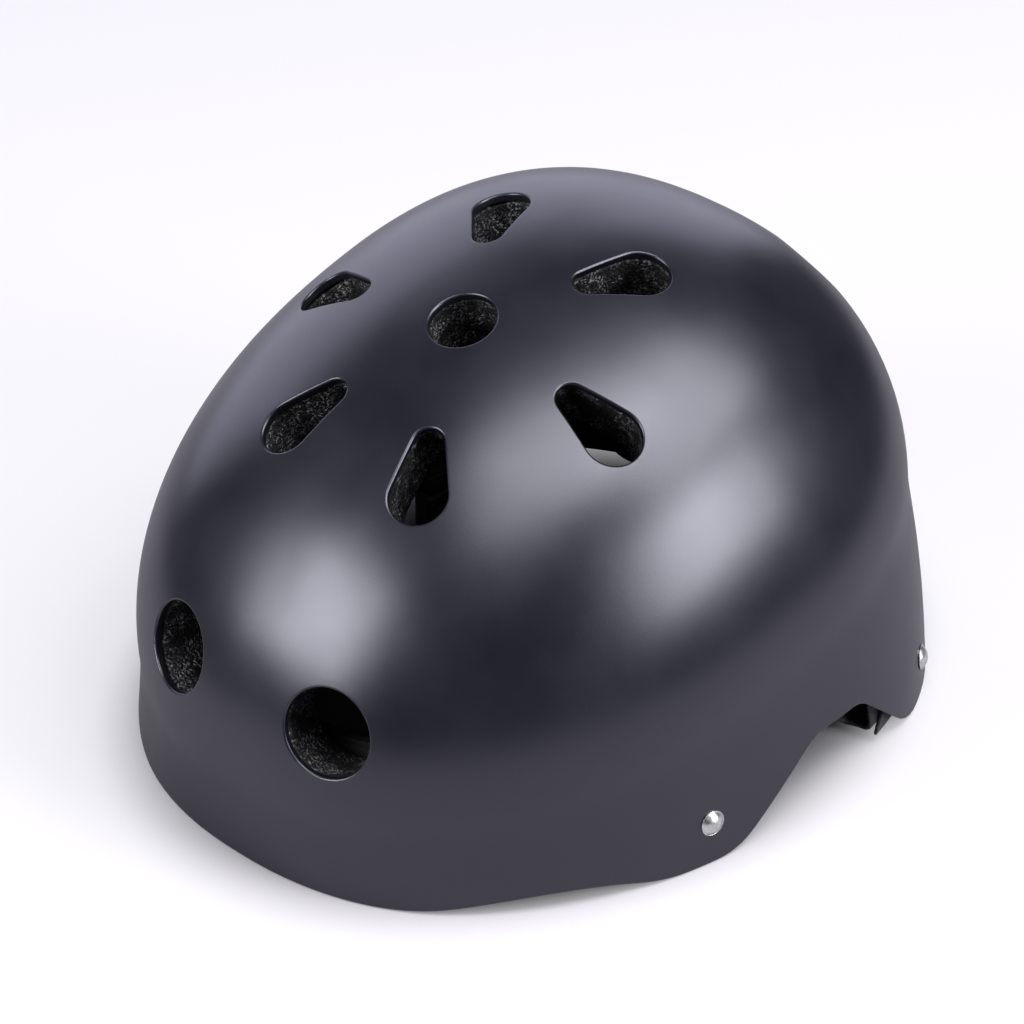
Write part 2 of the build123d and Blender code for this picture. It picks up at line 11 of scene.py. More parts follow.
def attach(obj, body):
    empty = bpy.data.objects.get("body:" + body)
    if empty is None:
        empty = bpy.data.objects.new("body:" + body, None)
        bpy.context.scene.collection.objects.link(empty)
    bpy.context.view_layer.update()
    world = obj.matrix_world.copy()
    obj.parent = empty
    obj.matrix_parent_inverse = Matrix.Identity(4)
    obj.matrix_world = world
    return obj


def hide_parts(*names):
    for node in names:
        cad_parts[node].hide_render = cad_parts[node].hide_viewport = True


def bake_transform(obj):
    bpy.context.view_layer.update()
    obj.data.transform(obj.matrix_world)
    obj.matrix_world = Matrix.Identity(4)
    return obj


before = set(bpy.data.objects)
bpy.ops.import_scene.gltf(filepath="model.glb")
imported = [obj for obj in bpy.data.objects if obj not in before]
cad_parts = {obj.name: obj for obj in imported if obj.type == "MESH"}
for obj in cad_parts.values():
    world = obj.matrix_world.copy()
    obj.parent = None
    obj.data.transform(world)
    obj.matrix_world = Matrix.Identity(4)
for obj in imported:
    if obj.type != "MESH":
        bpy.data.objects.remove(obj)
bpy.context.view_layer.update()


# Hard shell
# One moulded shell of black plastic, 3 mm thick, with a satin skin. Its vents and rim are trimmed
# after moulding and their edges are rounded over.

shell_half_width = 0.109
shell_front_reach = 0.142
shell_rear_reach = 0.115
shell_rise = 0.0995
shell_wall = 0.003
belt_height = 0.0551
rise_power = 2.05
plan_power = 2.27
dip = radians(11.4)
lean = 0.089
front_flare = tan(radians(12.4))
side_flare = tan(radians(8.8))
rear_flare = tan(radians(10.1))
nape_curl_radius = 0.143
flare_ease = 0.012
bisections = 26
ray_reach = 0.3
skirt_checks = 20
tiny = 1e-9


def wall_flare(out, back, depth):
    """How far the wall stands out past the belt line, at a depth below it."""
    eased = hypot(depth, flare_ease) - flare_ease
    end_share = (back / hypot(out, back)) ** 2
    end_slope = front_flare if back < 0 else rear_flare - eased / (2 * nape_curl_radius)
    return eased * ((1 - end_share) * side_flare + end_share * end_slope)


def skin_level(point, inset):
    """Under one inside the dome that lies this inset within the shell's skin, one on it."""
    out, back, rise = point
    own_rise = rise * cos(dip) - back * sin(dip)
    own_back = back * cos(dip) + rise * sin(dip) - lean * own_rise
    reach = shell_front_reach if own_back < 0 else shell_rear_reach
    across = (abs(out) / (shell_half_width - inset)) ** plan_power
    along = (abs(own_back) / (reach - inset)) ** plan_power
    plan = (across + along) ** (1 / plan_power)
    if own_rise >= 0:
        height = own_rise / (shell_rise - inset)
        return (plan**rise_power + height**rise_power) ** (1 / rise_power)
    radius = max(hypot(out, own_back), tiny)
    return radius / (radius / max(plan, tiny) + wall_flare(out, own_back, -own_rise))


def skin_point(start, direction, inset, near=0.0, far=ray_reach):
    """Where a ray from inside the dome leaves the skin, from the middle of the belt."""
    for _ in range(bisections):
        middle = (near + far) / 2
        if skin_level(start + direction * middle, inset) < 1:
            near = middle
        else:
            far = middle
    return start + direction * near


def skin_normal(point, inset):
    """Outward normal of the skin, from the middle of the belt."""
    probe = 0.00005
    slopes = []
    for axis in (Vector((probe, 0, 0)), Vector((0, probe, 0)), Vector((0, 0, probe))):
        slopes.append(skin_level(point + axis, inset) - skin_level(point - axis, inset))
    return Vector(slopes).normalized()


# The helmet stands with its foremost and rearmost points at the same distance from the origin
skirt_levels = [Vector((0, 0, -belt_height * step / skirt_checks)) for step in range(skirt_checks + 1)]
foremost = max(-skin_point(level, Vector((0, -1, 0)), 0).y for level in skirt_levels)
rearmost = max(skin_point(level, Vector((0, 1, 0)), 0).y for level in skirt_levels)
shell_length = foremost + rearmost
belt_middle = Vector((0, (foremost - rearmost) / 2, belt_height))


def bearing_point(bearing, climb, inset):
    """Point of the skin in a direction of the dome's own frame: bearing from straight ahead."""
    out = sin(bearing) * cos(climb)
    own_rise = sin(climb)
    own_back = lean * own_rise - cos(bearing) * cos(climb)
    back = own_back * cos(dip) - own_rise * sin(dip)
    rise = own_back * sin(dip) + own_rise * cos(dip)
    return skin_point(Vector((0, 0, 0)), Vector((out, back, rise)), inset)


crown_vent_radius = 0.0215 / 2
round_vent_radius = 0.0285 / 2
round_vents = ((13.7, 12.4), (163, 24))
teardrop_length = 0.031
teardrop_wide_radius = 0.0092
teardrop_narrow_radius = 0.005
teardrops = ((18.3, 46.7), (62.3, 54.0), (121.3, 72.3))
vent_pitch = 0.0014
vent_depth = 0.05
vent_rise = 0.02
crown = bearing_point(0, radians(74), 0)
crown_normal = skin_normal(crown, 0)
crown_tilt = atan2(-crown_normal.y, crown_normal.z)

# A teardrop is the band round two circles, the wide one away from the crown
round_outline = ((0, round_vent_radius), (0, round_vent_radius))
teardrop_outline = (
    (teardrop_length / 2 - teardrop_wide_radius, teardrop_wide_radius),
    (teardrop_narrow_radius - teardrop_length / 2, teardrop_narrow_radius),
)


def grown(outline, spread):
    """A vent's outline made wider all round."""
    return tuple((place, radius + spread) for place, radius in outline)


def outline_rings(outline, spreads):
    """Rings of points along a vent's outline at these spreads, matched point for point."""
    (wide_place, wide_radius), (narrow_place, narrow_radius) = outline
    apart = wide_place - narrow_place
    turn = pi / 2 if apart == 0 else pi / 2 + asin((wide_radius - narrow_radius) / apart)
    lines = []
    for spread in (0, *spreads):
        line = []
        for step in range(360):
            angle = radians(step) - pi
            place, radius = outline[0] if abs(angle) < turn else outline[1]
            radius += spread
            line.append(Vector((place + radius * cos(angle), radius * sin(angle))))
        lines.append(line + line[:1])
    lengths = [(far - near).length for near, far in zip(lines[0], lines[0][1:])]
    count = ceil(sum(lengths) / vent_pitch)
    rings = [[] for _ in spreads]
    walked, step = 0.0, 0
    for number in range(count):
        goal = sum(lengths) * number / count
        while walked + lengths[step] < goal:
            walked += lengths[step]
            step += 1
        share = (goal - walked) / lengths[step]
        for ring, line in zip(rings, lines[1:]):
            ring.append(line[step].lerp(line[step + 1], share))
    return rings


def inside_outline(outline, across, up):
    """Whether a point of the vent's plane lies within its outline."""
    (wide_place, wide_radius), (narrow_place, narrow_radius) = outline
    apart = wide_place - narrow_place
    along = 0 if apart == 0 else min(max((across - narrow_place) / apart, 0), 1)
    radius = narrow_radius + (wide_radius - narrow_radius) * along
    return hypot(across - narrow_place - apart * along, up) < radius


def vent_plane(bearing, climb):
    """Middle, normal and the two directions of a vent's plane, the first away from the crown."""
    middle = bearing_point(radians(bearing), radians(climb), 0)
    normal = skin_normal(middle, 0)
    away = middle - crown
    away = (away - normal * away.dot(normal)).normalized()
    return middle, normal, away, normal.cross(away)


vents = []
for side in (-1, 1):
    for bearing, climb in round_vents:
        vents.append((round_outline, vent_plane(side * bearing, climb)))
    for bearing, climb in teardrops:
        vents.append((teardrop_outline, vent_plane(side * bearing, climb)))


def rounded_profile(corners, steps=12):
    """Points along a line of (place, height, radius) corners, with its corners rounded."""
    spots = [Vector(corner[:2]) for corner in corners]
    points = [spots[0]]
    for before, spot, after, corner in zip(spots, spots[1:], spots[2:], corners[1:]):
        back, ahead = (before - spot).normalized(), (after - spot).normalized()
        half = back.angle(ahead) / 2
        reach = corner[2] / tan(half)
        middle = spot + (back + ahead).normalized() * corner[2] / sin(half)
        first, last = spot + back * reach - middle, spot + ahead * reach - middle
        for step in range(steps + 1):
            points.append(middle + first.lerp(last, step / steps).normalized() * corner[2])
    points.append(spots[-1])
    return points


def height_along(profile, place):
    """Height of a profile at a place along the helmet."""
    for near, far in zip(profile, profile[1:]):
        if near.x <= place <= far.x:
            return near.y + (far.y - near.y) * (place - near.x) / max(far.x - near.x, tiny)
    return profile[0].y if place < profile[0].x else profile[-1].y


# The rim rises in a low arch at each temple and in a higher one over each ear, with a flap between
brow_edge_length = 0.0155
temple_arch_length = 0.064
temple_height = 0.0085
temple_foot_radius = 0.060
temple_top_radius = 0.085
flap_length = 0.0265
flap_radius = 0.025
ear_front_run = 0.0355
ear_top_length = 0.023
ear_rear_run = 0.0275
ear_height = 0.0245
ear_front_radius = 0.016
ear_rear_radius = 0.012
nape_foot_radius = 0.020
temple_start = brow_edge_length - shell_length / 2
temple_end = temple_start + temple_arch_length
flap_end = temple_end + flap_length
ear_top_start = flap_end + ear_front_run
ear_top_end = ear_top_start + ear_top_length
ear_end = ear_top_end + ear_rear_run
shell_rim = rounded_profile((
    (-shell_length, 0, 0),
    (temple_start, 0, temple_foot_radius),
    ((temple_start + temple_end) / 2, temple_height, temple_top_radius),
    (temple_end, 0, temple_foot_radius),
    (flap_end, 0, flap_radius),
    (ear_top_start, ear_height, ear_front_radius),
    (ear_top_end, ear_height, ear_rear_radius),
    (ear_end, 0, nape_foot_radius),
    (shell_length, 0, 0),
))

# Rows of faces run from the crown vent to the rim, with a narrow band along every edge
columns = 240
crown_rows = 46
skirt_rows = 18
skirt_share = 0.62
row_power = 1.35
row_aim_depth = belt_height * 1.5
rim_passes = 4
edge_band = 0.0022
vent_clearance = 1.7
crown_clearance = 1.8


def ring_edges(ring):
    """The edges that join a ring of corners."""
    corners = set(ring)
    joined = {edge for vert in ring for edge in vert.link_edges if edge.other_vert(vert) in corners}
    return list(joined)


def place_ring(ring, places):
    """Moves a ring of corners to its places, in the order that the ring was made in."""
    for vert, place in zip(ring, places):
        vert.co = place


def first_ring(form, places):
    """Adds a closed ring of corners at these places."""
    ring = bmesh.ops.create_circle(form, segments=len(places), radius=1)["verts"]
    place_ring(ring, places)
    return ring


def next_ring(form, ring, places):
    """Extrudes a ring of corners to new places and returns the new ring in the same order."""
    made = bmesh.ops.extrude_edge_only(form, edges=ring_edges(ring))["geom"]
    fresh = {part for part in made if isinstance(part, bmesh.types.BMVert)}
    new_ring = []
    for vert in ring:
        new_ring.append(next(edge.other_vert(vert) for edge in vert.link_edges
                             if edge.other_vert(vert) in fresh))
    place_ring(new_ring, places)
    return new_ring


def skin_rows(inset, rim, margin, band):
    """Rows of places on the dome, from the crown vent's edge to the rim, with a band at each."""
    turns = [2 * pi * column / columns for column in range(columns)]
    rows = []
    for radius in (crown_vent_radius + margin, crown_vent_radius + margin + band):
        row = []
        for turn in turns:
            aside = Vector((cos(turn), sin(turn) * cos(crown_tilt), sin(turn) * sin(crown_tilt)))
            start = crown + aside * radius
            row.append(skin_point(start, crown_normal, inset, near=-vent_depth, far=vent_depth))
        rows.append(row)
    top = skin_point(crown, crown_normal, inset, near=-vent_depth, far=vent_depth)
    foot = Vector((0, 0, -row_aim_depth))
    clear = crown_vent_radius + margin + crown_clearance * band
    for step in range(1, crown_rows + 1):
        share = skirt_share * (step / crown_rows) ** row_power
        tilt = crown_tilt * (1 - share)
        middle = top.lerp(foot, share)
        row = []
        for turn in turns:
            aside = Vector((cos(turn), sin(turn) * cos(tilt), sin(turn) * sin(tilt)))
            row.append(skin_point(middle, aside, inset))
        if min((place - middle).length for place in row) > clear:
            rows.append(row)
    walls = []
    for place in rows[-1]:
        aside = Vector((place.x, place.y, 0)).normalized()
        low = height_along(rim, place.y + belt_middle.y) - belt_height
        for _ in range(rim_passes):
            edge = skin_point(Vector((0, 0, low)), aside, inset)
            low = height_along(rim, edge.y + belt_middle.y) - belt_height
        walls.append((place.z, low, aside))
    shares = [step / skirt_rows for step in range(1, skirt_rows + 1)]
    for share in shares + [None]:
        row = []
        for high, low, aside in walls:
            level = low if share is None else high + (low + band - high) * share
            row.append(skin_point(Vector((0, 0, level)), aside, inset))
        rows.append(row)
    return rows


def open_vent(form, skin, outline, plane, inset, band):
    """Opens one vent in a sheet of skin and returns its edges."""
    middle, normal, away, aside = plane
    cleared = grown(outline, vent_clearance * band)
    hit = set()
    for face in skin:
        for vert in face.verts:
            local = vert.co - middle
            near = local.dot(normal) > -vent_depth
            if near and inside_outline(cleared, local.dot(away), local.dot(aside)):
                hit.add(face)
                break
    jagged = {edge for face in hit for edge in face.edges if set(edge.link_faces) - hit}
    skin -= hit
    bmesh.ops.delete(form, geom=list(hit), context="FACES")
    rings = []
    for line in outline_rings(outline, (band, 0)):
        places = []
        for spot in line:
            start = middle + away * spot.x + aside * spot.y
            places.append(skin_point(start, normal, inset, near=-vent_depth, far=vent_rise))
        rings.append(places)
    ring = first_ring(form, rings[0])
    edges = list(jagged) + ring_edges(ring)
    filled = bmesh.ops.triangle_fill(form, use_beauty=True, edges=edges, normal=normal)["geom"]
    faces = {part for part in filled if isinstance(part, bmesh.types.BMFace)}
    inner = [edge for face in faces for edge in face.edges if set(edge.link_faces) <= faces]
    inner = [edge for edge in set(inner) if len(edge.link_faces) == 2]
    bmesh.ops.beautify_fill(form, faces=list(faces), edges=inner, method="ANGLE")
    return ring_edges(next_ring(form, ring, rings[1]))


def dome_sheet(form, inset, rim, margin, band):
    """Adds a sheet of the dome's skin to a form and returns the edges of its openings."""
    rows = skin_rows(inset, rim, margin, band)
    before = set(form.faces)
    ring = first_ring(form, rows[0])
    openings = [ring_edges(ring)]
    for row in rows[1:]:
        ring = next_ring(form, ring, row)
    openings.append(ring_edges(ring))
    skin = set(form.faces) - before
    for outline, plane in vents:
        openings.append(open_vent(form, skin, grown(outline, margin), plane, inset, band))
    return openings


def moulded_layer(outer_inset, inner_inset, rim, margin, band):
    """Closed layer of the dome between two insets, with its vents and its rim."""
    form = bmesh.new()
    outer = dome_sheet(form, outer_inset, rim, margin, band)
    inner = dome_sheet(form, inner_inset, rim, margin, band)
    for outer_edges, inner_edges in zip(outer, inner):
        bmesh.ops.bridge_loops(form, edges=outer_edges + inner_edges)
    bmesh.ops.recalc_face_normals(form, faces=form.faces)
    bmesh.ops.translate(form, vec=belt_middle, verts=form.verts)
    return form


def make_object(form, name, material):
    """Makes a finished form an object of its material."""
    mesh = bpy.data.meshes.new(name)
    form.to_mesh(mesh)
    form.free()
    mesh.materials.append(material)
    made = bpy.data.objects.new(name, mesh)
    bpy.context.collection.objects.link(made)
    return made


def make_piece(form, name, material, body="root"):
    """Makes a finished form a piece of the helmet, and lets it ride with the body that is named."""
    piece = make_object(form, name, material)
    piece.data.shade_smooth()
    if body:
        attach(piece, body)
    return piece


def round_edges(piece, radius, segments=3, limit=35):
    """Rounds a piece's edges, and keeps the faces between them true."""
    rounding = piece.modifiers.new("rounded edges", "BEVEL")
    rounding.width = radius
    rounding.segments = segments
    rounding.limit_method = "ANGLE"
    rounding.angle_limit = radians(limit)
    rounding.use_clamp_overlap = False
    rounding.harden_normals = True


def add_node(tree, kind, inputs, **settings):
    """Adds a node with its settings, and with each input's value or link."""
    node = tree.nodes.new(kind)
    for name, value in settings.items():
        setattr(node, name, value)
    for name, value in inputs.items():
        if isinstance(value, bpy.types.NodeSocket):
            tree.links.new(value, node.inputs[name])
        else:
            node.inputs[name].default_value = value
    return node


def new_group(name, inputs, outputs):
    """An empty shader group with named number inputs and outputs, and its two end nodes."""
    group = bpy.data.node_groups.new(name, "ShaderNodeTree")
    group.interface.new_socket(name="Vector", in_out="INPUT", socket_type="NodeSocketVector")
    for socket in inputs:
        group.interface.new_socket(name=socket, in_out="INPUT", socket_type="NodeSocketFloat")
    for socket in outputs:
        group.interface.new_socket(name=socket, in_out="OUTPUT", socket_type="NodeSocketFloat")
    start = group.nodes.new("NodeGroupInput").outputs
    return group, start, group.nodes.new("NodeGroupOutput").inputs


def new_finish(name, roughness, **plain):
    """A material with a plain roughness and plain values for its shader's other sockets."""
    material = bpy.data.materials.new(name)
    material.use_nodes = True
    shader = material.node_tree.nodes["Principled BSDF"]
    shader.inputs["Roughness"].default_value = roughness
    for socket, value in plain.items():
        shader.inputs[socket.replace("_", " ").title().replace("Ior", "IOR")].default_value = value
    return material, material.node_tree, shader


def object_place(tree):
    """The place on a piece, in metres."""
    return add_node(tree, "ShaderNodeTexCoord", {}).outputs["Object"]


def use_group(tree, group, vector=None, **values):
    """Places a group in a material with its own values, by the place on the piece or by a map."""
    node = add_node(tree, "ShaderNodeGroup", {}, node_tree=group)
    tree.links.new(object_place(tree) if vector is None else vector, node.inputs["Vector"])
    for name, value in values.items():
        node.inputs[name].default_value = value
    return node.outputs


def colour_by(tree, shader, share, low, high):
    """Colours a material from low to high as a share goes from 0 to 1."""
    inputs = {0: share, 6: (*low, 1), 7: (*high, 1)}
    colour = add_node(tree, "ShaderNodeMix", inputs, data_type="RGBA").outputs[2]
    tree.links.new(colour, shader.inputs["Base Color"])
    return colour


def respread(tree, value, low, high, first=0.0, last=1.0, shape="LINEAR"):
    """A value between low and high, spread out from first to last."""
    inputs = {0: value, 1: low, 2: high, 3: first, 4: last}
    return add_node(tree, "ShaderNodeMapRange", inputs, interpolation_type=shape).outputs[0]


def roughness_by(tree, shader, share, low, high):
    """Sets a material's roughness from low to high as a share goes from 0 to 1."""
    tree.links.new(respread(tree, share, 0, 1, low, high), shader.inputs["Roughness"])


def bump_by(tree, shader, height, distance):
    """Raises a material's surface by a height, times a distance in metres."""
    bump = add_node(tree, "ShaderNodeBump", {"Height": height, "Distance": distance, "Strength": 1})
    tree.links.new(bump.outputs[0], shader.inputs["Normal"])


# Soft cloudy change over a surface, as a share from 0 to 1
mottle_group, start, end = new_group("Mottle", ("Scale", "Detail"), ("Share",))
inputs = {"Vector": start["Vector"], "Scale": start["Scale"], "Detail": start["Detail"]}
clouds = add_node(mottle_group, "ShaderNodeTexNoise", inputs)
contrast = respread(mottle_group, clouds.outputs[0], 0.35, 0.65)
mottle_group.links.new(contrast, end["Share"])

# Fine moulded grain: small cells with soft tops
grain_group, start, end = new_group("Moulded grain", ("Scale",), ("Height",))
inputs = {"Vector": start["Vector"], "Scale": start["Scale"]}
cells = add_node(grain_group, "ShaderNodeTexVoronoi", inputs, feature="SMOOTH_F1")
grain_group.links.new(cells.outputs["Distance"], end["Height"])

shell_plastic, tree, shader = new_finish(
    "Satin shell plastic", 0.30, ior=1.85, specular_tint=(0.87, 0.865, 1.0, 1)
)
shell_clouds = use_group(tree, mottle_group, Scale=38, Detail=4)["Share"]
shell_grain = use_group(tree, mottle_group, Scale=2600, Detail=1)["Share"]
colour_by(tree, shader, shell_clouds, (0.005, 0.005, 0.010), (0.007, 0.007, 0.013))
roughness_by(tree, shader, shell_clouds, 0.29, 0.34)
bump_by(tree, shader, shell_grain, 0.000007)

shell_edge_radius = 0.0009
shell_form = moulded_layer(0, shell_wall, shell_rim, 0, edge_band)
shell = make_piece(shell_form, "shell", shell_plastic)
round_edges(shell, shell_edge_radius)
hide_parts("outer_shell")


# Foam liner
# A black bead-foam bowl, 19 mm thick, moulded to the shell's inside and open behind every vent.
# Its lower edge is raised at the sides, over the strap anchors. Worn beads show as pale specks.

liner_gap = 0.0003
liner_thickness = 0.019
liner_back = shell_wall + liner_gap
liner_face = liner_back + liner_thickness
liner_end_height = 0.008
liner_side_height = 0.027
liner_front_step = -0.050
liner_rear_step = 0.094
liner_slope_run = 0.014
liner_step_radius = 0.006
liner_vent_margin = 0.0006
liner_edge_radius = 0.0010
liner_rim = rounded_profile((
    (-shell_length, liner_end_height, 0),
    (liner_front_step - liner_slope_run, liner_end_height, liner_step_radius),
    (liner_front_step, liner_side_height, liner_step_radius),
    (liner_rear_step, liner_side_height, liner_step_radius),
    (liner_rear_step + liner_slope_run, liner_end_height, liner_step_radius),
    (shell_length, liner_end_height, 0),
))


def worked_out(tree, operation, *values):
    """A number that a tree works out from one or two values."""
    return add_node(tree, "ShaderNodeMath", dict(enumerate(values)), operation=operation).outputs[0]


# Moulded beads: pillow-shaped cells with dark seams, and worn patches where torn skins are pale
bead_group, start, end = new_group("Moulded beads", ("Scale",), ("Height", "Seam", "Speck"))
inputs = {"Vector": start["Vector"], "Scale": start["Scale"]}
seams = add_node(bead_group, "ShaderNodeTexVoronoi", inputs, feature="DISTANCE_TO_EDGE")
pillow = respread(bead_group, seams.outputs[0], 0, 0.22, shape="SMOOTHSTEP")
bead_group.links.new(pillow, end["Height"])
bead_group.links.new(pillow, end["Seam"])
fine_scale = worked_out(bead_group, "MULTIPLY", start["Scale"], 2.6)
inputs = {"Vector": start["Vector"], "Scale": fine_scale, "Detail": 3, "Roughness": 0.7}
torn = add_node(bead_group, "ShaderNodeTexNoise", inputs)
specks = respread(bead_group, torn.outputs[0], 0.52, 0.62)
coarse_scale = worked_out(bead_group, "MULTIPLY", start["Scale"], 0.4)
inputs = {"Vector": start["Vector"], "Scale": coarse_scale, "Detail": 3}
patches = add_node(bead_group, "ShaderNodeTexNoise", inputs)
worn = respread(bead_group, patches.outputs[0], 0.42, 0.62)
bead_group.links.new(worked_out(bead_group, "MULTIPLY", specks, worn), end["Speck"])

bead_foam, tree, shader = new_finish("Black bead foam", 0.62, specular_ior_level=0.35)
beads = use_group(tree, bead_group, Scale=480)
dark = colour_by(tree, shader, beads["Seam"], (0.008, 0.008, 0.009), (0.016, 0.016, 0.018))
inputs = {0: beads["Speck"], 6: dark, 7: (0.42, 0.42, 0.45, 1)}
speckled = add_node(tree, "ShaderNodeMix", inputs, data_type="RGBA").outputs[2]
tree.links.new(speckled, shader.inputs["Base Color"])
bump_by(tree, shader, beads["Height"], 0.0002)

liner_form = moulded_layer(liner_back, liner_face, liner_rim, liner_vent_margin, edge_band)
liner = make_piece(liner_form, "liner", bead_foam)
round_edges(liner, liner_edge_radius, segments=2)
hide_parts("foam_liner")


# Hook dots and comfort pads
# Soft foam pads in a black brushed knit, each bound round its edge. They are pressed onto round
# dots of hook tape that are glued to the liner.

dot_thickness = 0.0012
dot_gap = 0.00015
pad_thickness = 0.008
pad_back = liner_face + 2 * dot_gap + dot_thickness
pad_face = pad_back + pad_thickness
pad_corner_radius = 0.009
pad_start_inset = 0.0010
pad_start_thickness = 0.0050
pad_cell = 0.0022
pad_swell = 0.0013
filling_pressure = 4
filling_frames = 20
end_pad_foot = 0.015
brow_pad_size = (0.118, 0.026)
nape_pad_size = (0.092, 0.024)
side_pad_foot = 0.046
side_pad_place = 0.012
side_pad_size = (0.062, 0.038)
crown_pad_place = 0.036
crown_pad_size = (0.030, 0.076)

# How far in from the pad's outline, and how far above its back, each edge of the tape lies
binding_edges = ((0, 0.0012), (0, 0.0042), (0.0022, 0.0045), (0.0022, 0.0009))
binding_edge_radius = 0.0004
corner_steps = 9

hook_finish, tree, shader = new_finish("Hook tape", 0.75)
hooks = use_group(tree, grain_group, Scale=1500)["Height"]
colour_by(tree, shader, hooks, (0.006, 0.006, 0.007), (0.030, 0.030, 0.033))
bump_by(tree, shader, hooks, 0.0004)
dot_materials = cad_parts["hook_dots"].data.materials
dot_materials.clear()
dot_materials.append(hook_finish)

pad_knit, tree, shader = new_finish("Brushed knit", 0.85, sheen_weight=0.25, sheen_roughness=0.5)
stitches = use_group(tree, grain_group, Scale=1050)["Height"]
wear = use_group(tree, mottle_group, Scale=55, Detail=5)["Share"]
stitched = worked_out(tree, "MULTIPLY", stitches, wear)
colour_by(tree, shader, stitched, (0.020, 0.020, 0.023), (0.062, 0.062, 0.069))
bump_by(tree, shader, stitches, 0.00035)

binding_finish, tree, shader = new_finish("Pad binding", 0.7)
cords = use_group(tree, grain_group, Scale=1900)["Height"]
colour_by(tree, shader, cords, (0.010, 0.010, 0.011), (0.026, 0.026, 0.028))
bump_by(tree, shader, cords, 0.0002)


def pad_place(view, centre, across, up, inset):
    """Point of the dome behind a place of a pad's outline, seen along the pad's own view."""
    right, above, out = view
    flat = right * (centre[0] + across) + above * (centre[1] + up)
    seen = flat - right * right.dot(belt_middle) - above * above.dot(belt_middle)
    return skin_point(seen, out, inset) + belt_middle


def pad_outline_place(across, up, half_width, half_height):
    """Moves a place of a rectangle into the rectangle with rounded corners."""
    spare = pad_corner_radius - pad_start_inset
    corner_across = (abs(across) - half_width + spare) / spare
    corner_up = (abs(up) - half_height + spare) / spare
    if corner_across <= 0 or corner_up <= 0:
        return across, up
    round_across = corner_across * (1 - corner_up**2 / 2) ** 0.5
    round_up = corner_up * (1 - corner_across**2 / 2) ** 0.5
    across += (round_across - corner_across) * spare * (1 if across > 0 else -1)
    up += (round_up - corner_up) * spare * (1 if up > 0 else -1)
    return across, up


def as_modified(piece):
    """The piece with its modifiers worked out."""
    return piece.evaluated_get(bpy.context.evaluated_depsgraph_get())


def swell(piece):
    """Fills a pad with pressure, as its foam does, and keeps each point near where it was."""
    filling = piece.modifiers.new("filling", "CLOTH")
    filling.settings.use_pressure = True
    filling.settings.uniform_pressure_force = filling_pressure
    filling.settings.effector_weights.gravity = 0
    filling.point_cache.frame_end = filling_frames
    for step in range(1, filling_frames + 1):
        bpy.context.scene.frame_set(step)
    filled = as_modified(piece).to_mesh()
    moves = [full.co - vert.co for full, vert in zip(filled.vertices, piece.data.vertices)]
    piece.modifiers.remove(filling)
    for vert, move in zip(piece.data.vertices, moves):
        vert.co += move * min(1, pad_swell / max(move.length, tiny))
    bpy.context.scene.frame_set(1)


def comfort_pad(name, view, centre, size):
    """One pad: two skins of knit over its foam, swollen from a slightly smaller shape."""
    half_width, half_height = (length / 2 - pad_start_inset for length in size)
    columns_across, rows_up = (round(length / pad_cell) for length in size)
    form = bmesh.new()
    bmesh.ops.create_grid(form, size=1, x_segments=columns_across, y_segments=rows_up)
    middle = (pad_back + pad_face) / 2 - pad_start_thickness / 2
    for vert in form.verts:
        across, up = vert.co.x * half_width, vert.co.y * half_height
        across, up = pad_outline_place(across, up, half_width, half_height)
        vert.co = pad_place(view, centre, across, up, middle)
    bmesh.ops.recalc_face_normals(form, faces=form.faces)
    bmesh.ops.solidify(form, geom=form.faces[:], thickness=pad_start_thickness)
    bmesh.ops.recalc_face_normals(form, faces=form.faces)
    pad = make_piece(form, f"{name}_cushion", pad_knit)
    even = pad.modifiers.new("even cells", "REMESH")
    even.mode = "VOXEL"
    even.voxel_size = pad_cell
    settled = bpy.data.meshes.new_from_object(as_modified(pad))
    pad.modifiers.remove(even)
    pad.data = settled
    swell(pad)
    settled.shade_smooth()
    finer = pad.modifiers.new("finer", "SUBSURF")
    finer.levels = finer.render_levels = 1
    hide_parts(f"{name}_pad")
    bind_edge(f"{name}_cushion_binding", view, centre, size)


def pad_edge(width, height):
    """Evenly spaced places round a pad's outline, with its corners rounded."""
    line = []
    for quarter in range(4):
        turn = quarter * pi / 2
        right = 1 if cos(turn + pi / 4) > 0 else -1
        above = 1 if sin(turn + pi / 4) > 0 else -1
        for step in range(corner_steps + 1):
            angle = turn + step / corner_steps * pi / 2
            across = right * (width / 2 - pad_corner_radius) + pad_corner_radius * cos(angle)
            up = above * (height / 2 - pad_corner_radius) + pad_corner_radius * sin(angle)
            line.append(Vector((across, up)))
    spaced = []
    for near, far in zip(line, line[1:] + line[:1]):
        parts = max(1, round((far - near).length / pad_cell))
        spaced += [near.lerp(far, part / parts) for part in range(parts)]
    return spaced


def bind_edge(name, view, centre, size):
    """Tape sewn round a pad's edge, as a flat ring of four long faces with rounded corners."""
    rows = []
    for shrink, rise in binding_edges:
        narrowed, lowered = (1 - 2 * shrink / length for length in size)
        row = []
        for spot in pad_edge(*size):
            row.append(pad_place(view, centre, spot.x * narrowed, spot.y * lowered, pad_back + rise))
        rows.append(row)
    form = bmesh.new()
    ring = first = first_ring(form, rows[0])
    for row in rows[1:]:
        ring = next_ring(form, ring, row)
    bmesh.ops.bridge_loops(form, edges=ring_edges(first) + ring_edges(ring))
    bmesh.ops.recalc_face_normals(form, faces=form.faces)
    binding = make_piece(form, name, binding_finish)
    round_edges(binding, binding_edge_radius, segments=2, limit=50)


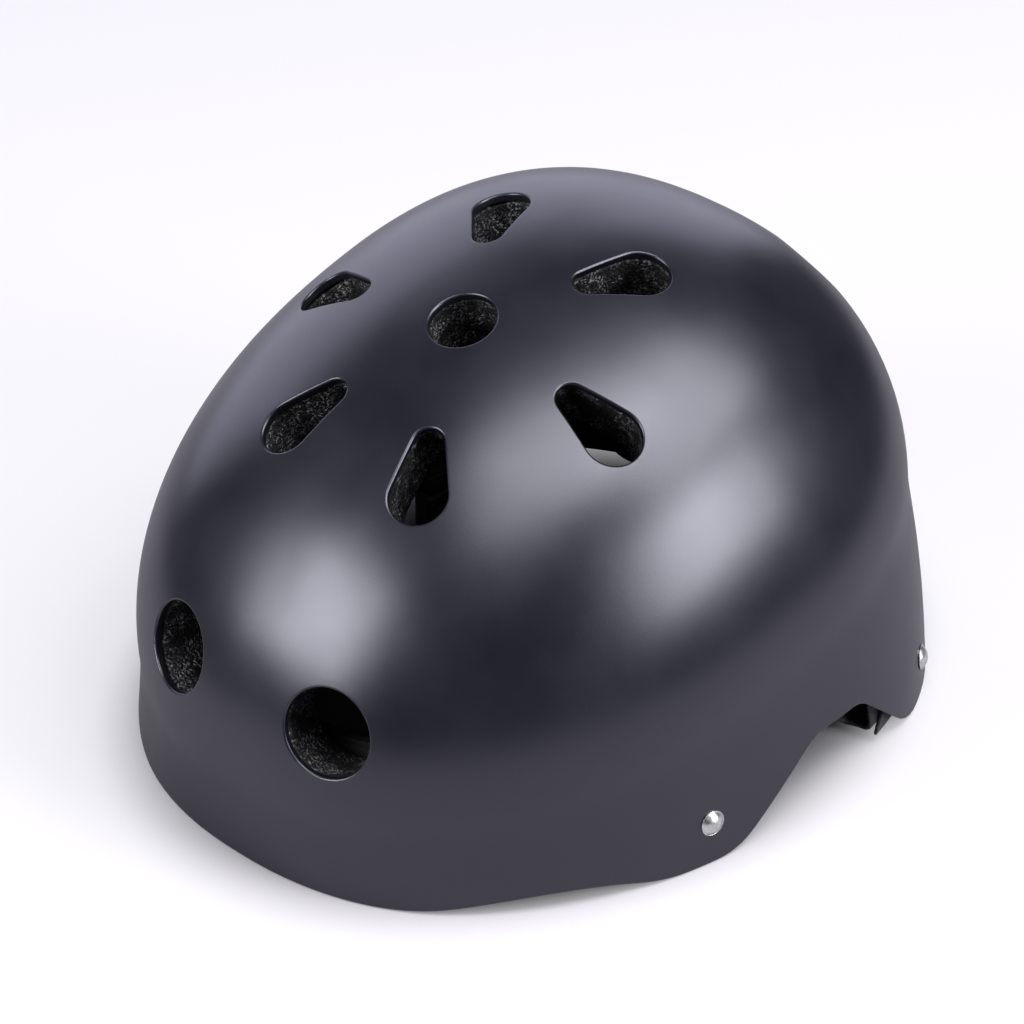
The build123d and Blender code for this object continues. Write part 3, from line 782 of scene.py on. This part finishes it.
left_way, back_way, up_way = Vector((1, 0, 0)), Vector((0, 1, 0)), Vector((0, 0, 1))
side_pad_centre = (side_pad_place, side_pad_foot + side_pad_size[1] / 2)
for name, out, size in (("brow", -back_way, brow_pad_size), ("nape", back_way, nape_pad_size)):
    comfort_pad(name, (left_way, up_way, out), (0, end_pad_foot + size[1] / 2), size)
for name, out in (("left_side", left_way), ("right_side", -left_way)):
    comfort_pad(name, (back_way, up_way, out), side_pad_centre, side_pad_size)
comfort_pad("crown", (left_way, back_way, up_way), (0, crown_pad_place), crown_pad_size)


# Rivets and washers
# Bright nickel-plated steel. Each domed cap sits on the shell, and its shank is clinched over a
# washer on the webbing inside.

rivet_head_radius = 0.0042
rivet_head_height = 0.0022
rivet_shank_radius = 0.0020
rivet_hole_radius = 0.0022
rivet_clinch_radius = 0.0032
rivet_clinch_height = 0.0009
rivet_clinch_taper = 0.8
rivet_cap_edge = 0.00045
rivet_seat = 0.00005
rivet_edge_radius = 0.00012
cap_steps = 12
turn_steps = 40
turned_weld = 0.000001
washer_radius = 0.0050
washer_thickness = 0.0008
washer_dish = 0.75
washer_gap = 0.0013
clinch_gap = 0.0002
band_gap = 0.0006
strap_thickness = 0.0015
band_back = shell_wall + band_gap
band_face = band_back + strap_thickness
band_middle = (band_back + band_face) / 2
washer_back = band_face + washer_gap
rivet_grip = washer_back + washer_thickness + clinch_gap
front_rivet_place = -0.033
front_rivet_height = 0.0143
rear_rivet_place = 0.080
rear_rivet_height = 0.0116
rivet_places = ((front_rivet_place, front_rivet_height), (rear_rivet_place, rear_rivet_height))

nickel, tree, shader = new_finish("Bright nickel", 0.30, metallic=1.0)
tarnish = use_group(tree, mottle_group, Scale=700, Detail=6)["Share"]
colour_by(tree, shader, tarnish, (0.72, 0.71, 0.70), (0.86, 0.86, 0.87))
roughness_by(tree, shader, tarnish, 0.27, 0.38)


def wall_point(along, height, inset):
    """Point of the left wall at a place of the side view."""
    start = Vector((0, along, height)) - belt_middle
    return skin_point(start, left_way, inset) + belt_middle


def turned_form(profile):
    """Closed form turned from a profile of (radius, height) points round the Z axis."""
    form = bmesh.new()
    spots = [form.verts.new((radius, 0, height)) for radius, height in profile]
    line = [form.edges.new(pair) for pair in zip(spots, spots[1:])]
    bmesh.ops.spin(form, geom=spots + line, axis=(0, 0, 1), cent=(0, 0, 0), angle=2 * pi,
                   steps=turn_steps, use_merge=True, use_duplicate=False)
    bmesh.ops.remove_doubles(form, verts=form.verts, dist=turned_weld)
    bmesh.ops.recalc_face_normals(form, faces=form.faces)
    return form


def at_each_rivet(profile):
    """The turned form placed at all four rivets."""
    whole = bmesh.new()
    scratch = bpy.data.meshes.new("scratch")
    for along, height in rivet_places:
        spot = wall_point(along, height, 0)
        normal = skin_normal(spot - belt_middle, 0)
        for side in (-1, 1):
            form = turned_form(profile)
            way = Vector((side * normal.x, normal.y, normal.z))
            turned = way.to_track_quat("Z", "Y").to_matrix().to_4x4()
            seat = Matrix.Translation((side * spot.x, spot.y, spot.z))
            bmesh.ops.transform(form, matrix=seat @ turned, verts=form.verts)
            form.to_mesh(scratch)
            form.free()
            whole.from_mesh(scratch)
    bpy.data.meshes.remove(scratch)
    return whole


cap_radius = (rivet_head_radius**2 + rivet_head_height**2) / (2 * rivet_head_height)
cap_sweep = asin(rivet_head_radius / cap_radius)
rivet_profile = []
for step in range(cap_steps):
    angle = cap_sweep * step / cap_steps
    rivet_profile.append((cap_radius * sin(angle), rivet_head_height - cap_radius * (1 - cos(angle))))
rivet_profile += [
    (rivet_head_radius, rivet_cap_edge),
    (rivet_head_radius, rivet_seat),
    (rivet_shank_radius, rivet_seat),
    (rivet_shank_radius, -rivet_grip),
    (rivet_clinch_radius, -rivet_grip),
    (rivet_clinch_radius, -rivet_grip - rivet_clinch_height / 2),
    (rivet_clinch_radius * rivet_clinch_taper, -rivet_grip - rivet_clinch_height),
    (0, -rivet_grip - rivet_clinch_height),
]
washer_profile = [
    (rivet_hole_radius, -washer_back - washer_thickness),
    (washer_radius, -washer_back - washer_thickness * washer_dish),
    (washer_radius, -washer_back),
    (rivet_hole_radius, -washer_back),
    (rivet_hole_radius, -washer_back - washer_thickness),
]
rivet_rows = ((rivet_profile, "rivet_caps", "rivets"), (washer_profile, "dished_washers", "rivet_washers"))
for profile, name, node in rivet_rows:
    piece = make_piece(at_each_rivet(profile), name, nickel)
    round_edges(piece, rivet_edge_radius, segments=2)
    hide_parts(node)


# Anchor bands and side straps
# Ribbed black polyester webbing, 20 mm wide. Each band is riveted to the shell, turns in under the
# liner's edge and runs up to the divider, and the rear one starts from a tab that holds its rivet.

strap_width = 0.020
rib_pitch = 0.00145
rib_depth = 0.00016
rib_roundness = 0.6
yarn_pitch = 0.00050
strip_column = 0.0005
strap_cell = 0.00036
selvedge_start = 0.92
selvedge_thinning = 0.45
strap_bend_radius = 0.020
first_run = 0.010
fold_inboard = 0.0985
fold_height = 0.004
fold_radius = 0.0025
tuck = radians(50)
anchor_top = 0.0235
anchor_overrun = 0.004
anchor_length = 0.0245
strap_path_length = 0.084
strap_overlap = 0.0005
meeting_place = 0.008
divider_place = 0.066
divider_length = 0.020
divider_start = divider_place - divider_length / 2
divider_end = divider_place + divider_length / 2
rear_fold_place = 0.056
anchor_layer_gap = 0.0001
tucked_layer_gap = 0.0002
rear_layer = strap_thickness + tucked_layer_gap
rear_inset = band_middle + strap_thickness + anchor_layer_gap
tab_front = 0.0465
tab_rear = 0.091
tab_slant = 0.9

# Ribs across the webbing and the fine yarns in them, from a map in metres along and across it.
# Its Shade output is painted shade: dark in the grooves between ribs and yarns, light on their tops.
yarn_group, start, end = new_group("Webbing yarn", ("Rib", "Yarn"), ("Height", "Shade"))
across, along, _ = add_node(yarn_group, "ShaderNodeSeparateXYZ", {0: start["Vector"]}).outputs
waves = []
for way, pitch in ((across, start["Yarn"]), (along, start["Rib"])):
    turns = worked_out(yarn_group, "DIVIDE", way, pitch)
    wave = worked_out(yarn_group, "SINE", worked_out(yarn_group, "MULTIPLY", turns, 2 * pi))
    waves.append(worked_out(yarn_group, "ABSOLUTE", wave))
yarn_group.links.new(waves[0], end["Height"])
yarn_group.links.new(worked_out(yarn_group, "MULTIPLY", *waves), end["Shade"])

webbing, tree, shader = new_finish("Ribbed webbing", 0.55, sheen_weight=0.15)
weave = add_node(tree, "ShaderNodeUVMap", {}, uv_map="weave").outputs[0]
yarns = use_group(tree, yarn_group, weave, Rib=2 * rib_pitch, Yarn=2 * yarn_pitch)
# Painted shade: the webbing is coloured dark in its grooves and lighter on the rib and yarn tops.
colour_by(tree, shader, yarns["Shade"], (0.005, 0.005, 0.007), (0.050, 0.049, 0.058))
bump_by(tree, shader, yarns["Height"], 0.00008)


def measured(points):
    """A line's points, and the length walked at each of them."""
    walked = [0.0]
    for near, far in zip(points, points[1:]):
        walked.append(walked[-1] + (far - near).length)
    return points, walked


def along_line(line, length):
    """Place on a measured line after a length."""
    points, walked = line
    step = min(max(bisect(walked, length), 1), len(points) - 1)
    share = (length - walked[step - 1]) / max(walked[step] - walked[step - 1], tiny)
    return points[step - 1] + (points[step] - points[step - 1]) * share


def line_side(line, length):
    """Sideways direction of a measured line after a length."""
    probe = 0.0003
    way = along_line(line, length + probe) - along_line(line, length - probe)
    return Vector((-way.y, way.x)).normalized()


def woven_strip(start, end, surface, hand):
    """Webbing from start to end of its length. Its surface gives a place, a side and a rib's place."""
    form = bmesh.new()
    weave_map = form.loops.layers.uv.new("weave")
    across_count = round(strap_width / strip_column)
    along_count = round(abs(end - start) / strap_cell)
    bmesh.ops.create_grid(form, x_segments=across_count, y_segments=along_count, size=0.5)
    raised = bmesh.ops.extrude_face_region(form, geom=form.faces[:])["geom"]
    upper = {part for part in raised if isinstance(part, bmesh.types.BMVert)}
    marks = {}
    for vert in form.verts:
        across = vert.co.x * strap_width
        along = start + (end - start) * (vert.co.y + 0.5)
        place, side, rib = surface(across, along)
        edge = max(0, abs(across) / (strap_width / 2) - selvedge_start) / (1 - selvedge_start)
        rise = rib_depth * (abs(sin(pi * rib / rib_pitch)) ** rib_roundness - 1)
        half = (strap_thickness / 2 + rise) * (1 - selvedge_thinning * edge**2)
        vert.co = place + side * (half if vert in upper else -half)
        marks[vert] = (across, rib)
    for face in form.faces:
        for loop in face.loops:
            loop[weave_map].uv = marks[loop.vert]
    if hand == "right":
        bmesh.ops.scale(form, vec=(-1, 1, 1), verts=form.verts)
    bmesh.ops.recalc_face_normals(form, faces=form.faces)
    return form


def tucked_corner(length, layer, radius=0):
    """Corner of a tucked strap's line at a length past the fold, with its rounding radius."""
    inboard = fold_inboard - cos(tuck) * length - sin(tuck) * layer
    height = fold_height + sin(tuck) * length - cos(tuck) * layer
    return inboard, height, radius


def strap_surface(fold_place, inset, layer):
    """Surface of a strap from its anchor band over the fold and on up, measured from the fold."""
    centre_line = rounded_profile((
        (-strap_path_length, fold_place, 0),
        (0, fold_place, strap_bend_radius),
        (divider_start, meeting_place, strap_bend_radius),
        (strap_path_length * 2, meeting_place, 0),
    ))
    tucked = [tucked_corner(first_run, layer, strap_bend_radius), tucked_corner(strap_path_length, layer)]
    beyond = measured(rounded_profile([tucked_corner(0, 0), *tucked]))[1][-1]
    half_count = round(strap_width / strip_column / 2)
    lines = {}
    for column in range(-half_count, half_count + 1):
        place = fold_place + column * strip_column
        top = wall_point(place, anchor_top + anchor_overrun, inset)
        foot = wall_point(place, fold_height, inset)
        band = [(top.x, top.z, 0), (foot.x, foot.z, fold_radius), tucked_corner(0, 0, fold_radius)]
        line = measured(rounded_profile(band + tucked))
        lines[column] = (line, line[1][-1] - beyond)

    def surface(across, along):
        line, fold_length = lines[round(across / strip_column)]
        spot = along_line(line, fold_length + along)
        side = line_side(line, fold_length + along)
        centre = height_along(centre_line, along)
        probe = 0.0002
        ahead = height_along(centre_line, along + probe)
        slant = (ahead - height_along(centre_line, along - probe)) / (2 * probe)
        place = Vector((spot.x, centre + across * hypot(1, slant), spot.y))
        return place, Vector((side.x, 0, side.y)), along + across * slant

    return surface


def tab_surface(across, along):
    """Surface of the rear anchor's tab, which lies along the wall with its front end cut slantwise."""
    front = tab_front + (strap_width / 2 + across) * tab_slant
    place_along = tab_rear + (front - tab_rear) * along / (tab_rear - tab_front)
    height = (fold_height - strap_thickness / 2 + anchor_top) / 2 + across
    probe = 0.001
    place = wall_point(place_along, height, band_middle)
    side = (wall_point(place_along, height, band_middle - probe) - place).normalized()
    return place, side, tab_rear - place_along


# The blend across the fold leans with the wall, so the bands above it stay on their rivets
strap_rows = (
    ("front", strap_surface(front_rivet_place, band_middle, 0), divider_place + strap_overlap),
    ("rear", strap_surface(rear_fold_place, rear_inset, rear_layer), divider_end),
)
for hand, side in (("left", 1), ("right", -1)):
    for name, surface, stop in strap_rows:
        form = woven_strip(-anchor_length, stop, surface, hand)
        strap = make_piece(form, f"{hand}_{name}_webbing", webbing, body=None)
        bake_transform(strap)
        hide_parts(f"{hand}_{name}_strap_anchor", f"{hand}_{name}_side_strap")
    tab = woven_strip(0, tab_rear - tab_front, tab_surface, hand)
    make_piece(tab, f"{hand}_rear_tab", webbing)


# Chin straps
# The front webbing goes on past the divider and hangs from its fold. On the left it ends in the
# buckle socket, and on the right it goes round the plug's bar and back up through the keeper.

tongue_length = 0.005
tongue_radius = 0.0025
hang_radius = 0.0020
socket_drop = 0.014
socket_pocket_depth = 0.0045
plug_drop = 0.017
plug_base_length = 0.015
loose_end_offset = 0.0026
loose_end_length = 0.020
turn_slack = 0.00005
turn_radius = loose_end_offset / 2 - turn_slack
tip_inboard, hang_height, _ = tucked_corner(strap_path_length, 0)
hang_inboard = tip_inboard - tongue_length
strap_stop = hang_height - socket_drop - socket_pocket_depth
strap_turn = hang_height - plug_drop - plug_base_length / 2

hanging_line = [
    tucked_corner(divider_place - strap_overlap, 0),
    (tip_inboard, hang_height, tongue_radius),
    (hang_inboard, hang_height, hang_radius),
]
left_chin_line = hanging_line + [(hang_inboard, strap_stop, 0)]
right_chin_line = hanging_line + [
    (hang_inboard, strap_turn, turn_radius),
    (hang_inboard + loose_end_offset, strap_turn, turn_radius),
    (hang_inboard + loose_end_offset, strap_turn + loose_end_length, 0),
]


def chin_surface(line):
    """Surface of a chin strap along its line, in the middle between the two side straps."""

    def surface(across, along):
        spot = along_line(line, along)
        out = line_side(line, along)
        return Vector((spot.x, meeting_place + across, spot.y)), Vector((out.x, 0, out.y)), along

    return surface


for hand, side, corners in (("left", 1, left_chin_line), ("right", -1, right_chin_line)):
    chin_line = measured(rounded_profile(corners))
    form = woven_strip(0, chin_line[1][-1], chin_surface(chin_line), hand)
    strap = make_piece(form, f"{hand}_chin_webbing", webbing, body=None)
    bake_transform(strap)
    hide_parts(f"{hand}_chin_strap")


# Dividers, buckle and keeper
# Injection-moulded black plastic with a fine grain and softly rounded edges, and a rubber ring that
# keeps the loose end of the webbing.

moulded_weld = 0.00001
flat_angle = radians(2)
thin_edge = 0.0003
plain_edge = 0.0004
thick_edge = 0.0005

buckle_plastic, tree, shader = new_finish("Moulded buckle plastic", 0.42)
grain = use_group(tree, grain_group, Scale=2600)["Height"]
rubbed = use_group(tree, mottle_group, Scale=120, Detail=5)["Share"]
colour_by(tree, shader, rubbed, (0.013, 0.013, 0.014), (0.022, 0.022, 0.024))
roughness_by(tree, shader, rubbed, 0.36, 0.50)
bump_by(tree, shader, grain, 0.00006)

keeper_rubber, tree, shader = new_finish("Matt rubber", 0.80, specular_ior_level=0.35)
bloom = use_group(tree, mottle_group, Scale=260, Detail=5)["Share"]
colour_by(tree, shader, bloom, (0.013, 0.013, 0.014), (0.024, 0.024, 0.026))
bump_by(tree, shader, bloom, 0.00004)


def moulded_copy(node, name, body, material, radius):
    """A piece in the shape of a CAD node, with the rounded edges that its mould gives it."""
    form = bmesh.new()
    form.from_mesh(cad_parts[node].data)
    bmesh.ops.remove_doubles(form, verts=form.verts, dist=moulded_weld)
    bmesh.ops.dissolve_limit(form, angle_limit=flat_angle, verts=form.verts, edges=form.edges)
    piece = make_piece(form, name, material, body)
    round_edges(piece, radius, limit=30)
    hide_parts(node)


# CAD node, piece, body and edge radius of each plastic piece
plastic_rows = (
    ("left_divider", "left_slider", "left_side_straps", plain_edge),
    ("right_divider", "right_slider", "right_side_straps", plain_edge),
    ("buckle_socket", "socket_half", "left_chin_end", thick_edge),
    ("buckle_plug", "plug_half", "right_chin_end", plain_edge),
    ("plug_arm_front", "front_spring_arm", "front_plug_arm", thin_edge),
    ("plug_arm_rear", "rear_spring_arm", "rear_plug_arm", thin_edge),
)
for node, name, body, radius in plastic_rows:
    moulded_copy(node, name, body, buckle_plastic, radius)
moulded_copy("strap_keeper", "keeper_ring", "keeper", keeper_rubber, thin_edge)


# Floor, lights and camera
# A pale floor that turns white away from the helmet, with a painted shadow under and round the
# helmet, five large soft lamps and a little even light all round.

camera_turn = radians(42.612)
camera_climb = radians(34.798)
camera_distance = 1.36673
camera_target = Vector((-0.00774, 0.00273, 0.05674))
camera_roll = radians(0.128)
focal_pixels = 4274.46
picture_pixels = 1024
view_reach = 50


def direction_to(turn, climb):
    """Direction from the helmet to a place round it, the turn measured from straight ahead."""
    return Vector((sin(turn) * cos(climb), -cos(turn) * cos(climb), sin(climb)))


back = direction_to(camera_turn, camera_climb)
lens = bpy.data.cameras.new("camera")
lens.sensor_width = 36
lens.sensor_fit = "HORIZONTAL"
lens.lens = focal_pixels * lens.sensor_width / picture_pixels
lens.clip_end = view_reach
camera = bpy.data.objects.new("camera", lens)
camera.matrix_world = (
    Matrix.Translation(camera_target + back * camera_distance)
    @ back.to_track_quat("Z", "Y").to_matrix().to_4x4()
    @ Matrix.Rotation(camera_roll, 4, "Z")
)
bpy.context.collection.objects.link(camera)
bpy.context.scene.camera = camera

floor_half_width = 0.38
floor_half_length = 0.85
floor_behind = 0.42
# The painted shadow under and round the helmet is measured from an ellipse of the helmet's footprint.
footprint_half_width = 0.105
footprint_half_length = 0.128
floor_glow = 0.48
floor_sides = 96
turned = Matrix.Rotation(camera_turn, 4, "Z") @ Matrix.Translation((0, floor_behind, 0))
stretched = Matrix.Diagonal((floor_half_width, floor_half_length, 1, 1))
form = bmesh.new()
bmesh.ops.create_circle(form, cap_ends=True, segments=floor_sides, radius=1, matrix=turned @ stretched)
floor_paint, tree, shader = new_finish("Pale floor", 0.7, specular_ior_level=0.0)
# Painted shadow: the floor's colour is near black under the helmet's footprint and turns pale just past
# it.
inputs = {0: object_place(tree), 1: (1 / footprint_half_width, 1 / footprint_half_length, 0)}
scaled = add_node(tree, "ShaderNodeVectorMath", inputs, operation="MULTIPLY").outputs[0]
outward = add_node(tree, "ShaderNodeVectorMath", {0: scaled}, operation="LENGTH").outputs["Value"]
clear_of_painted_shadow = respread(tree, outward, 0.80, 0.93)
colour_by(tree, shader, clear_of_painted_shadow, (0.02, 0.02, 0.025), (0.43, 0.42, 0.45))
# Painted shadow: the glow that camera rays see is faded out near the helmet, which darkens the floor round
# it.
seen = add_node(tree, "ShaderNodeLightPath", {}).outputs["Is Camera Ray"]
glow_outside_painted_shadow = respread(tree, outward, 0.92, 1.22, last=floor_glow, shape="SMOOTHSTEP")
shader.inputs["Emission Color"].default_value = (0.98, 0.97, 1.0, 1)
tree.links.new(worked_out(tree, "MULTIPLY", seen, glow_outside_painted_shadow), shader.inputs["Emission Strength"])
floor = make_object(form, "floor", floor_paint)

plain_white = (1, 1, 1)
cool_white = (0.84, 0.83, 1.0)

# Name, turn, climb, distance, width, height, power and colour of each lamp
lamp_rows = (
    ("brow_lamp", -20, 26, 1.6, 0.88, 0.84, 17, plain_white),
    ("side_lamp", 106, 26, 1.6, 0.62, 0.80, 14, plain_white),
    ("high_lamp", 122, 58, 1.6, 0.75, 0.80, 11, plain_white),
    ("crown_lamp", 62, 76, 1.5, 0.90, 0.80, 10, plain_white),
    ("backdrop_lamp", -122, 17, 1.8, 2.80, 1.40, 16.5, cool_white),
)
for name, turn, climb, distance, width, height, power, colour in lamp_rows:
    lamp_data = bpy.data.lights.new(name, "AREA")
    lamp_data.shape = "RECTANGLE"
    lamp_data.size = width
    lamp_data.size_y = height
    lamp_data.energy = power
    lamp_data.color = colour
    lamp = bpy.data.objects.new(name, lamp_data)
    out = direction_to(radians(turn), radians(climb))
    turned = out.to_track_quat("Z", "Y").to_matrix().to_4x4()
    lamp.matrix_world = Matrix.Translation(out * distance) @ turned
    lamp.visible_camera = False
    bpy.context.collection.objects.link(lamp)

room_light = 0.08
world = bpy.data.worlds.new("room")
world.use_nodes = True
tree = world.node_tree
backdrop = tree.nodes["Background"].inputs
backdrop["Color"].default_value = (0.90, 0.90, 1.0, 1)
behind = add_node(tree, "ShaderNodeLightPath", {}).outputs["Is Camera Ray"]
tree.links.new(respread(tree, behind, 0, 1, first=room_light), backdrop["Strength"])
bpy.context.scene.world = world
bpy.context.scene.view_settings.view_transform = "Standard"
